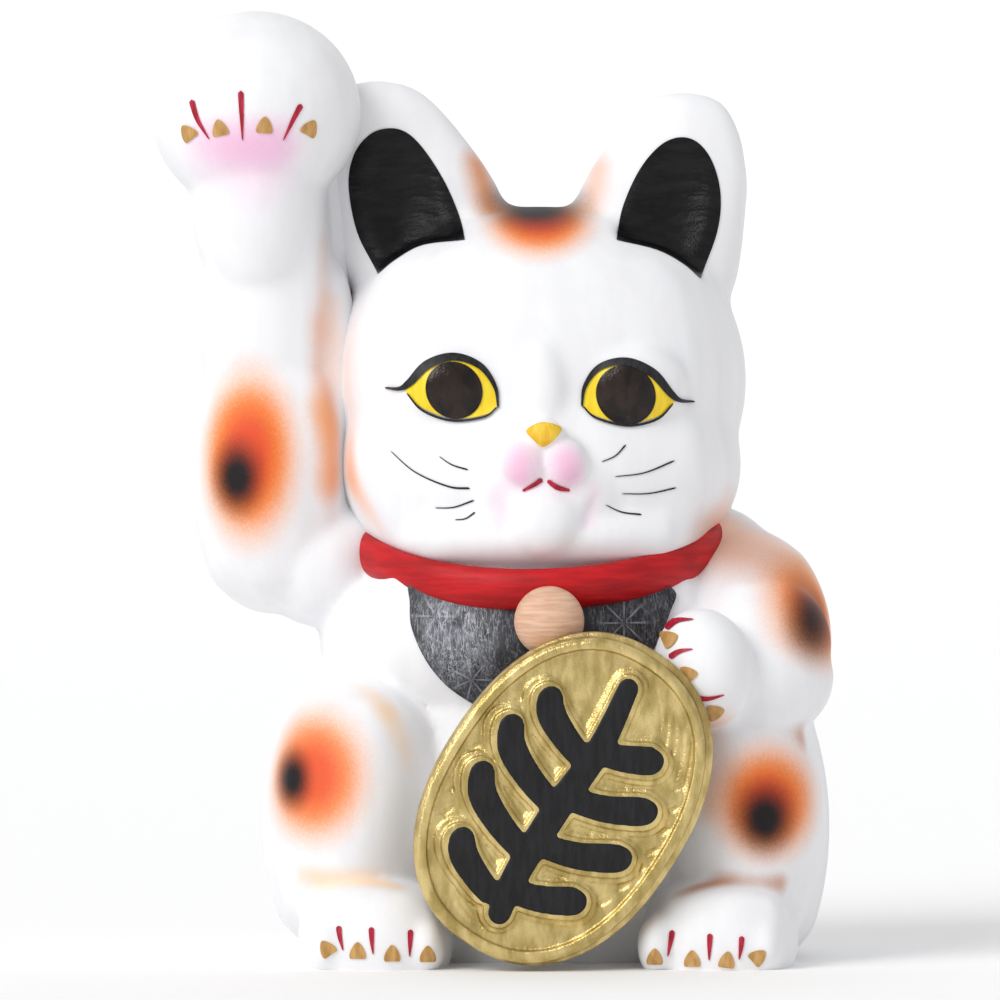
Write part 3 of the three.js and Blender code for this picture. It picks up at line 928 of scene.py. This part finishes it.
draw_claws(
    "raised", raised_arm, -60, -14,
    claws=(
        ((-77.6, 183), -38), ((-70.6, 184), -12), ((-60.7, 184.6), 4), ((-50.8, 184), 30),
    ),
    folds=(
        ((-77, 190.6), (-75.6, 186.2), (-73, 181.8)),
        ((-66, 192.6), (-65.8, 187.6), (-65.6, 181.6)),
        ((-52.6, 189.6), (-54.4, 186.2), (-56.6, 181.6)),
    ),
)
draw_claws(
    "lowered", lowered_arm, -80, -34,
    claws=(
        ((28, 72.6), 66), ((32.2, 65), 82), ((38.2, 56.4), 76),
    ),
    folds=(
        ((27.4, 74.8), (30, 76.6), (33.6, 77)),
        ((28.2, 68.6), (30.4, 70), (33.4, 70.6)),
        ((33.8, 59.8), (36.8, 59.6), (40.4, 60.4)),
    ),
)
draw_claws(
    "right_foot", feet[-1], -80, -40,
    claws=(
        ((-46.6, 4.6), -34), ((-40, 4), 0), ((-32.4, 3.4), 0), ((-24.6, 3.2), 0),
    ),
    folds=(
        ((-44.2, 9.8), (-43.9, 7.4), (-43.2, 4.4)),
        ((-37, 9.6), (-36.9, 6.8), (-36.6, 3.6)),
        ((-28.4, 9), (-28.5, 6.2), (-28.6, 3)),
    ),
)
draw_claws(
    "left_foot", feet[1], -80, -40,
    claws=(
        ((25.1, 2.6), 0), ((33.3, 2.2), 0), ((40.9, 2), 8), ((47.6, 2.8), 50),
    ),
    folds=(
        ((29, 8.8), (28.6, 6.2), (28, 3)),
        ((37.2, 8.2), (37.1, 5.4), (37, 2.2)),
        ((44.2, 7.6), (44, 5), (43.6, 2.4)),
    ),
)

# Collar.
# A raised band pressed into the neck under the chin, painted red with a broad brush.
collar_paint = brush_painted(
    "collar_red", (0.36, 0.002, 0.005, 1), (0.56, 0.006, 0.01, 1),
    size=1.6, depth=0.22, stretch=(0.16, 0.16, 1), roughness=0.5,
)
bpy.ops.mesh.primitive_torus_add(
    major_segments=160, minor_segments=32, major_radius=40.6 * MM, minor_radius=3.1 * MM
)
collar = bpy.context.object
collar.name = "collar_band_painted"
collar.scale = (0.99, 1.07, 1.5)
placed(collar)
collar.rotation_euler = (math.radians(15), math.radians(-1.6), 0)
collar.location = at(0.4, -3.2, 94.4)
placed(collar)
cut(collar, head, keep_tool=True)
cut(collar, raised_arm, keep_tool=True)
shown(collar, collar_paint, "red_enamel", "collar_band")

# Bib.
# An apron under the collar, painted charcoal and drawn over with silver stars and scratches.
bib_outline = rounded(
    [(-28.6, 84.4), (-28.7, 80), (-28.2, 74), (-24.4, 66), (-18.4, 59.8), (-9, 55), (3, 54),
     (15, 58.6), (24.6, 69), (28.8, 78), (29.6, 82.6), (22, 85), (0, 85.4), (-22, 85.4)], 6,
)
bib = painted("painted_bib", [bib_outline], torso, 0.8, -90, -14)
star_group, given, result = node_group(
    "silver_star", {"Place": "v", "Centre": "v", "Radius": "f", "Points": "f"}, {"Mask": "f"}
)
offset = node(star_group, "VectorMath", {0: given["Place"], 1: given["Centre"]},
              operation="SUBTRACT").outputs[0]
parts = node(star_group, "SeparateXYZ", {0: offset}).outputs
turn = node(star_group, "Math", {0: parts[2], 1: parts[0]}, operation="ARCTAN2")
spin = times(star_group, turn.outputs[0], given["Points"])
wave = node(star_group, "Math", {0: spin}, operation="COSINE")
flat = node(star_group, "CombineXYZ", {0: parts[0], 2: parts[2]}).outputs[0]
radius = node(star_group, "VectorMath", {0: flat}, operation="LENGTH").outputs[1]
share = node(star_group, "Math", {0: radius, 1: given["Radius"]}, operation="DIVIDE")
thin = smoothed(star_group, wave.outputs[0], 0.8, 1.0)
fade = smoothed(star_group, share.outputs[0], 1.0, 0.3)
star_group.links.new(times(star_group, thin, fade), result["Mask"])

bib_paint, tree, shader, place = paint("bib_charcoal", roughness=0.5)
tone = brushed(tree, shader, place, size=2.5, depth=0.12)
bib_colour = mixed(tree, tone, (0.012, 0.012, 0.015, 1), (0.04, 0.042, 0.05, 1))
silver = (0.55, 0.57, 0.63, 1)
cloud = smoothed(tree, distance_in(tree, place, at(-18, -42, 73.5), Vector((11, 30, 12)) * MM),
                 1.2, 0.1)
haze = node(tree, "TexNoise", {"Vector": place, "Scale": 260.0, "Detail": 6.0,
                               "Roughness": 0.7})
share = times(tree, smoothed(tree, haze.outputs[0], 0.3, 0.7), cloud)
share = times(tree, share, 0.5)
bib_colour = mixed(tree, share, bib_colour, silver)
dense = node(tree, "Math", {0: cloud, 1: 0.6, 2: 0.14}, operation="MULTIPLY_ADD")
for angle, size in ((0.3, 0.9), (-0.5, 1.2), (1.4, 1), (0, 0.8), (0.8, 1.1), (-0.15, 1)):
    turned = node(tree, "Mapping", {"Vector": place, "Rotation": (0, angle, 0),
                                    "Scale": (1, 1, 0.2)})
    scratch = node(tree, "TexNoise", {"Vector": turned.outputs[0],
                                      "Scale": 1000 / size, "Detail": 2.0})
    band = node(tree, "Math", {0: scratch.outputs[0], 1: 0.5, 2: 0.016},
                operation="COMPARE")
    patchy = node(tree, "TexNoise", {"Vector": turned.outputs[0], "Scale": 400.0})
    where = smoothed(tree, patchy.outputs[0], 0.42, 0.6)
    share = times(tree, band.outputs[0], where)
    share = times(tree, share, dense.outputs[0])
    bib_colour = mixed(tree, share, bib_colour, silver)
for centre, radius, points in (
    ((18.5, -44, 75.6), 7, 8), ((-15, -44, 63), 6, 7), ((-23, -44, 77), 6, 6),
):
    star = node(
        tree, "Group",
        {"Place": place, "Centre": at(*centre), "Radius": radius * MM, "Points": points},
        node_tree=star_group,
    )
    share = times(tree, star.outputs[0], 0.4)
    bib_colour = mixed(tree, share, bib_colour, silver)
tree.links.new(bib_colour, shader.inputs["Base Color"])
shown(bib, bib_paint, "bib_enamel", "bib")

# Bell.
# A plain ball pressed on to the collar, painted beige while it turned, which left fine rings.
bell_paint, tree, shader, place = paint("bell_beige", roughness=0.48)
rings = node(tree, "Mapping", {"Vector": place, "Scale": (0.1, 0.1, 1)})
lines = node(tree, "TexNoise", {"Vector": rings.outputs[0], "Scale": 1500.0, "Detail": 3.0})
tree.links.new(
    mixed(tree, smoothed(tree, lines.outputs[0], 0.3, 0.7), (0.62, 0.36, 0.24, 1),
          (0.75, 0.49, 0.34, 1)),
    shader.inputs["Base Color"],
)
bump = node(tree, "Bump", {"Height": lines.outputs[0], "Distance": 0.0003})
tree.links.new(bump.outputs[0], shader.inputs["Normal"])
bpy.ops.mesh.primitive_uv_sphere_add(
    segments=96, ring_count=48, radius=7.7 * MM, location=at(2, -51.5, 76.4)
)
bell = placed(bpy.context.object)
bell.name = "painted_bell"
cut(bell, torso, keep_tool=True)
shown(bell, bell_paint, "bell_enamel", "bell")

# Coin.
# An oval plate with a raised rim and hammered dimples, pressed in one mould with the walls of
# the leaf sprig, painted gold. The tops of the sprig are black.
coin_length, coin_width, coin_thick = 76.2, 56.2, 6
squareness = 2.3
face_level = coin_thick - 1


def coin_oval(inset, left=0, down=0, corners=128):
    """The coin's outline, drawn in by inset and moved left and down."""
    outline = []
    for i in range(corners):
        turn = i / corners * 2 * math.pi
        c, s = math.cos(turn), math.sin(turn)
        outline.append(
            (math.copysign(abs(c) ** (2 / squareness), c) * (coin_width / 2 - inset) - left,
             math.copysign(abs(s) ** (2 / squareness), s) * (coin_length / 2 - inset) - down)
        )
    return outline


def on_coin(outlines, low, high):
    """Outlines drawn on the upright coin, as solid relief between two heights off its back."""
    turn = math.radians(coin_lean)
    c, s = math.cos(turn), math.sin(turn)
    turned = [
        [(5 + x * c + z * s, 37.8 + z * c - x * s) for x, z in outline]
        for outline in outlines
    ]
    return prism(turned, -coin_back - high, -coin_back - low)


def sprig(more=0):
    """Stem and leaves as bold strokes with round ends, thicker by so many mm all round."""
    wide = 2 * more
    drawn = [
        stroke([(2.4, -31 - more, 5 + wide), (0.4, -20, 6 + wide), (0, -2, 6.4 + wide),
                (0.6, 14, 5.8 + wide), (-1.6, 30.5 + more, 4.6 + wide)], 30)
    ]
    for foot in (-24, -12, 0, 12):
        for side, rise in ((-1, 0.6), (1, 0.42)):
            root = foot + side * 1.6
            length = 19.8 - 0.014 * (root + 7) ** 2 + more
            drawn.append(
                stroke([
                    (0, root - 1, 5.4 + wide),
                    (side * length * 0.45, root + length * 0.08, 6.2 + wide),
                    (side * length * 0.82, root + length * 0.28, 6.6 + wide),
                    (side * length, root + length * rise, 5 + wide),
                ], 16)
            )
    return drawn


# The rim is stepped and sits a little low, so the blank's edge shows at the upper right.
blank = on_coin([coin_oval(0)], 0, 3.6)
cut(blank, on_coin([coin_oval(0.9, 0.5, 0.6)], 3, coin_thick), operation="UNION")
cut(blank, on_coin([coin_oval(1.7, 0.5, 0.6)], 3, coin_thick + 0.6), operation="UNION")
clear = coin_thick + 5  # a height above everything on the coin
cut(blank, on_coin([coin_oval(3.4, 0.4, 0.5)], face_level, clear))
dents = [
    stroke([(x - 1.2, z - 1.6, 0.7), (x, z, 1.5), (x + 0.8, z + 1.8, 0.6)])
    for x, z in [
        (side * (22.6 - 0.012 * z * z), z + side) for side in sides for z in range(-20, 20, 5)
    ]
]
for i in range(5):  # long drawn grooves above the upper right leaf
    dents.append(
        stroke([(3.6 + 3.1 * i, 32 - 1.1 * i, 0.5), (7.6 + 2.9 * i, 27.6 - 1.6 * i, 1.2),
                (10.4 + 2.8 * i, 22.6 - 2.2 * i, 0.5)])
    )
for i in range(3):  # and below the stem
    dents.append(
        stroke([(-12 + i, -26 - 2.4 * i, 0.5), (-5, -30.2 - 1.6 * i, 1), (1, -33.2, 0.5)])
    )
for outline in dents:
    cut(blank, on_coin([outline], face_level - 0.45, clear))
walls = [
    on_coin([one], face_level - 1, face_level + height)
    for more, height in ((1.8, 0.45), (0.85, 1.2))
    for one in sprig(more)
]
coin = pressed("gold_coin", [blank] + walls, grain=0.34, sponging=4)
gold, tree, shader, place = paint("gold_paint", roughness=0.3, metallic=0.78, specular=0.5)
tone = brushed(tree, shader, place, size=3, depth=0.45, stretch=(1, 1, 0.4))
gold_colour = mixed(tree, tone, (0.42, 0.31, 0.1, 1), (0.74, 0.58, 0.25, 1))
# Painted shade: the upper right edge of the coin, turned from the light, is darkened brown in the
# gold.
painted_edge_shade = node(
    tree, "Group",
    {"Colour": gold_colour, "Place": place, "Start": at(6, -54, 74), "End": at(38, -54, 58),
     "Width": 9 * MM, "Tint": (0.2, 0.08, 0.03, 1), "Strength": 0.8},
    node_tree=shade_group,
)
tree.links.new(painted_edge_shade.outputs[0], shader.inputs["Base Color"])
shown(coin, gold, "gold_paint", "coin_plate")
sprig_paint = brush_painted(
    "sprig_black", (0.004, 0.004, 0.005, 1), (0.012, 0.012, 0.014, 1),
    size=1.4, depth=0.12, roughness=0.5,
)
black_sprig = pressed(
    "black_sprig",
    [on_coin([one], face_level + 0.4, face_level + 1.4) for one in sprig()],
    grain=0.34,
    sponging=4,
)
shown(black_sprig, sprig_paint, "black_enamel", "coin_sprig")

# Stopper.
# A soft moulded plug with a flange, pushed up into the base. It is the one piece that moves.
# Its faint mould marks are drawn like fine brush marks.
flange_radius = 17
flange_level = 0.8
bpy.ops.mesh.primitive_circle_add(
    vertices=96, radius=flange_radius * MM, fill_type="NGON",
    location=at(0, stopper_back, flange_level),
)
stopper = placed(bpy.context.object)
stopper.name = "soft_stopper"
bpy.ops.object.mode_set(mode="EDIT")
bpy.ops.mesh.select_all(action="SELECT")
before = flange_radius
for rise, radius in ((1.4, flange_radius), (0, 12.4), (3, 13), (3.6, 12)):
    bpy.ops.mesh.extrude_region_move(TRANSFORM_OT_translate={"value": (0, 0, rise * MM)})
    bpy.ops.transform.resize(
        value=(radius / before, radius / before, 1),
        center_override=at(0, stopper_back, 0),
    )
    before = radius
bpy.ops.mesh.select_all(action="SELECT")
bpy.ops.mesh.normals_make_consistent(inside=False)
bpy.ops.object.mode_set(mode="OBJECT")
worked(stopper, "BEVEL", width=0.4 * MM, segments=3, limit_method="ANGLE")
soft_black = brush_painted(
    "soft_black", (0.02, 0.02, 0.02, 1), (0.035, 0.035, 0.035, 1),
    size=3, depth=0.05, roughness=0.7,
)
shown(stopper, soft_black, "stopper_rubber", "base_stopper", body="stopper")

# Studio.
# A pale sweep of paper, a soft light high on the left and an even white room, with the camera
# in front and a little above the middle of the cat, far enough off to draw it flat.
paper_width, paper_height, paper_curve = 14, 7, 4  # metres
bpy.ops.mesh.primitive_plane_add(size=paper_width, location=(0, 0, 0))
sweep = bpy.context.object
sweep.name = "paper_sweep"
bpy.ops.object.mode_set(mode="EDIT")
bpy.ops.mesh.select_all(action="DESELECT")
bpy.ops.object.mode_set(mode="OBJECT")
for edge in sweep.data.edges:
    edge.select = all(sweep.data.vertices[v].co.y > 0 for v in edge.vertices)
bpy.ops.object.mode_set(mode="EDIT")
bpy.ops.mesh.extrude_region_move(TRANSFORM_OT_translate={"value": (0, 0, paper_height)})
bpy.ops.object.mode_set(mode="OBJECT")
worked(sweep, "BEVEL", width=paper_curve, segments=32)
bpy.ops.object.shade_smooth()
paper, tree, shader, place = paint("studio_paper", roughness=0.9)
shader.inputs["Base Color"].default_value = (0.97, 0.97, 0.97, 1)
sweep.data.materials.append(paper)

world = bpy.data.worlds.new("studio_room")
bpy.context.scene.world = world
world.use_nodes = True
world.node_tree.nodes["Background"].inputs["Color"].default_value = (0.985, 0.99, 1, 1)
world.node_tree.nodes["Background"].inputs["Strength"].default_value = 0.66

bpy.ops.object.light_add(type="SUN")
key = bpy.context.object
key.name = "key_light"
key.data.energy = 1.7
key.data.angle = math.radians(35)
key.rotation_euler = Vector((0.62, 0.62, -0.62)).to_track_quat("-Z", "Y").to_euler()

view_width = 0.2215  # how much of the scene the picture takes in at the cat
reach = 3.2
camera_rise = math.radians(2)
aim = at(-8.8, -20, 101.9)
bpy.ops.object.camera_add(
    location=aim + Vector((0, -math.cos(camera_rise), math.sin(camera_rise))) * reach
)
camera = bpy.context.object
camera.rotation_euler = (math.pi / 2 - camera_rise, 0, 0)
camera.data.lens = camera.data.sensor_width * reach / view_width
bpy.context.scene.camera = camera
bpy.context.scene.view_settings.view_transform = "Standard"
bpy.context.scene.view_settings.look = "None"
